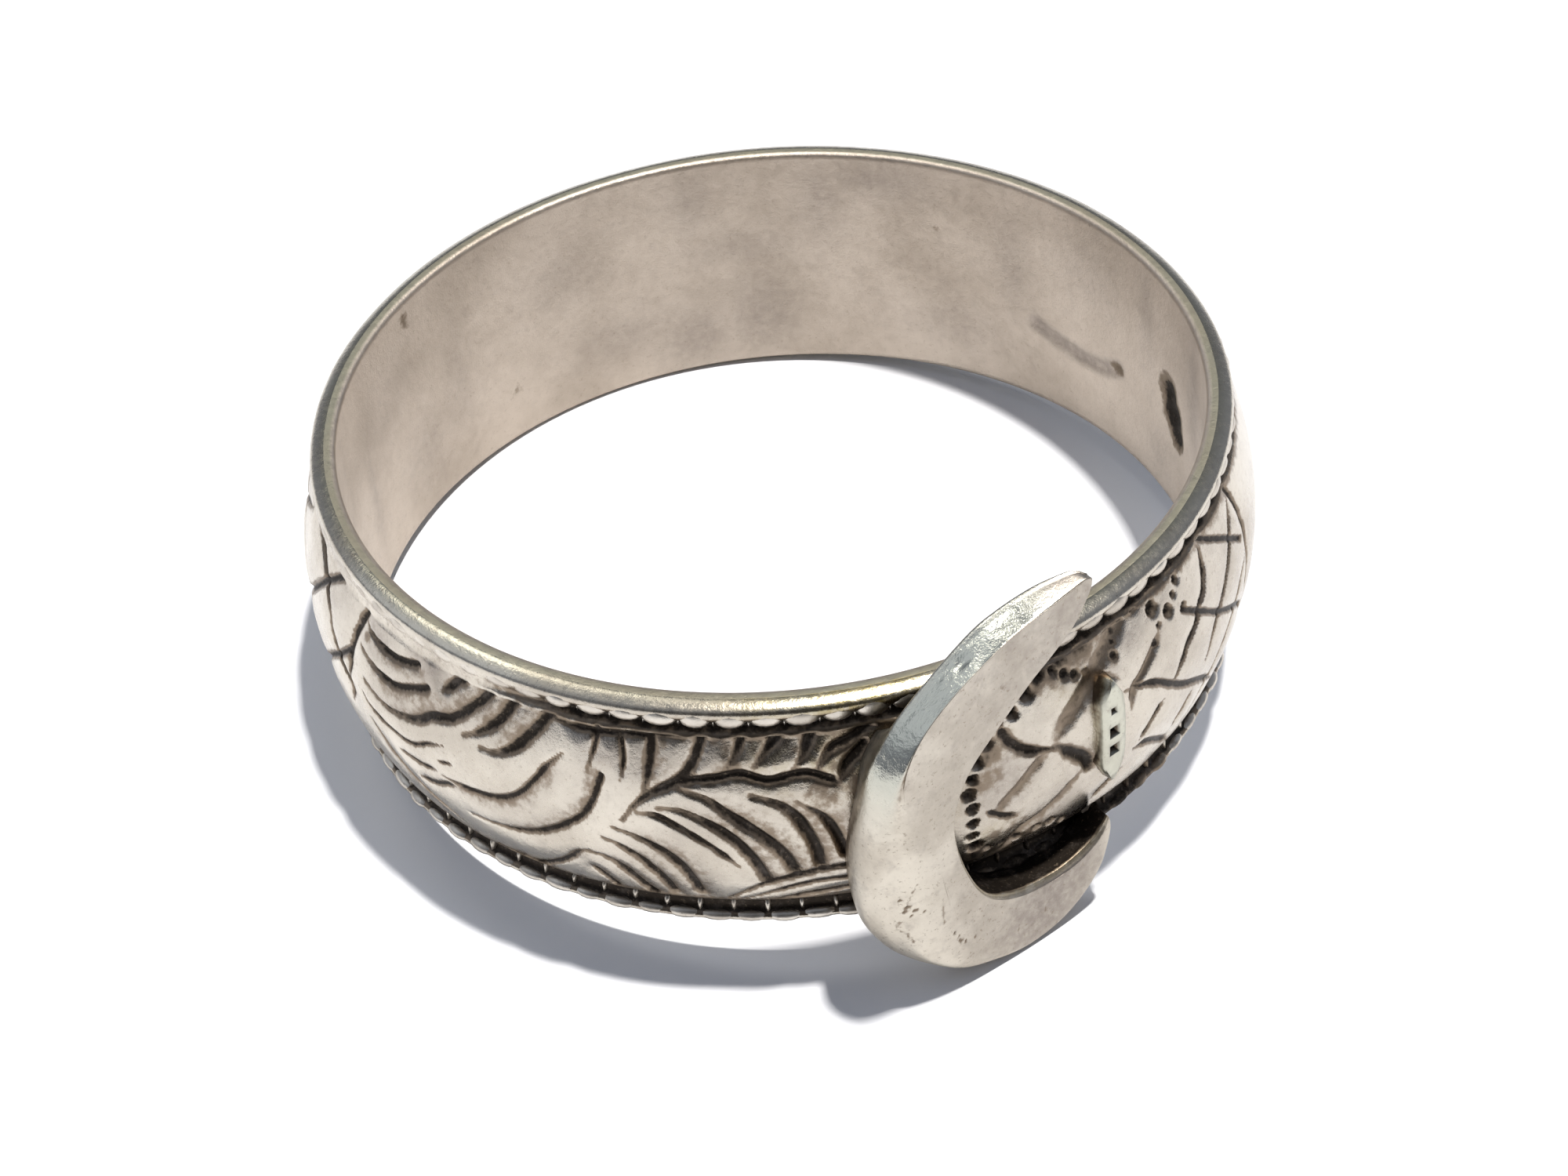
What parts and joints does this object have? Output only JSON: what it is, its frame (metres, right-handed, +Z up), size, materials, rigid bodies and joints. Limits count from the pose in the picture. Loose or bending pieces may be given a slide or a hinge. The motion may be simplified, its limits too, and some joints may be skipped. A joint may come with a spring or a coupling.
{
  "type": "buckle ring",
  "caption": "Closed silver finger ring: a belt round the finger with beaded edges and a crescent buckle, lying on its side.",
  "frame": {"origin": "centre of the finger's bore", "axes": "+Z up from the surface that the ring lies on; the buckle faces -Y; +X runs to the buckle's horns. The bore's axis leans 4.375 degrees from +Z towards +Y, because the ring rests on the buckle's lower edge and on the far edge of the band"},
  "size_m": [0.0202, 0.0211, 0.0088],
  "materials": {
    "silver": "worn sterling silver, satin, darkened in the engraving"
  },
  "bodies": {
    "root": {"buckle_ring": "silver"}
  },
  "joints": []
}
